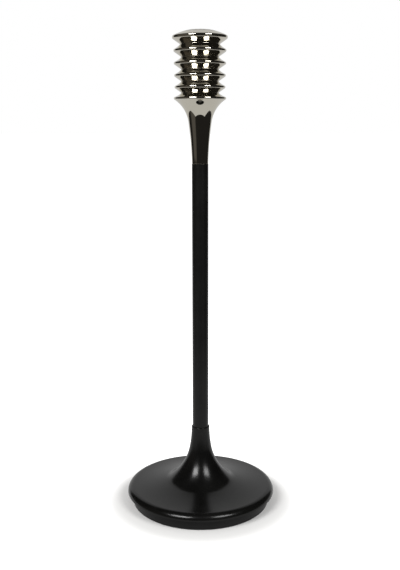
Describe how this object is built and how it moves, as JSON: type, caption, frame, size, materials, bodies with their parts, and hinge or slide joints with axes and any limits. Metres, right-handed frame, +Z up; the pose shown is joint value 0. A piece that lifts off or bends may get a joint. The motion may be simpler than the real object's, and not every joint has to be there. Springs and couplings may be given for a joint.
{
  "type": "candlestick",
  "caption": "Tall candlestick for a taper candle: ribbed polished head with a lift-out cup, slim black tube, black trumpet base on a plinth ring.",
  "frame": {"origin": "where the axis meets the floor, under the felt", "axes": "+Z up along the axis of revolution; X and Y are alike"},
  "size_m": [0.189, 0.189, 0.59],
  "materials": {
    "nickel": "polished",
    "stem_paint": "satin black",
    "base_paint": "satin black",
    "foot_black": "satin black",
    "ballast": "as cast",
    "felt": "felt",
    "zinc_steel": "zinc plated"
  },
  "bodies": {
    "stand": {"top_cap": "nickel", "ribbed_barrel": "nickel", "neck_flare": "nickel", "head_nut": "zinc_steel", "head_washer": "zinc_steel", "stem_tube": "stem_paint", "tie_rod": "zinc_steel", "base_shell": "base_paint", "foot_ring": "foot_black", "base_weight": "ballast", "base_washer": "zinc_steel", "base_spring_washer": "zinc_steel", "base_nut": "zinc_steel", "felt_pad": "felt"},
    "cup": {"candle_cup": "nickel"}
  },
  "joints": [
    {"name": "cup_lift", "type": "slide", "parent": "stand", "child": "cup", "axis": [0, 0, 1], "range_m": [0, 0.03]}
  ]
}
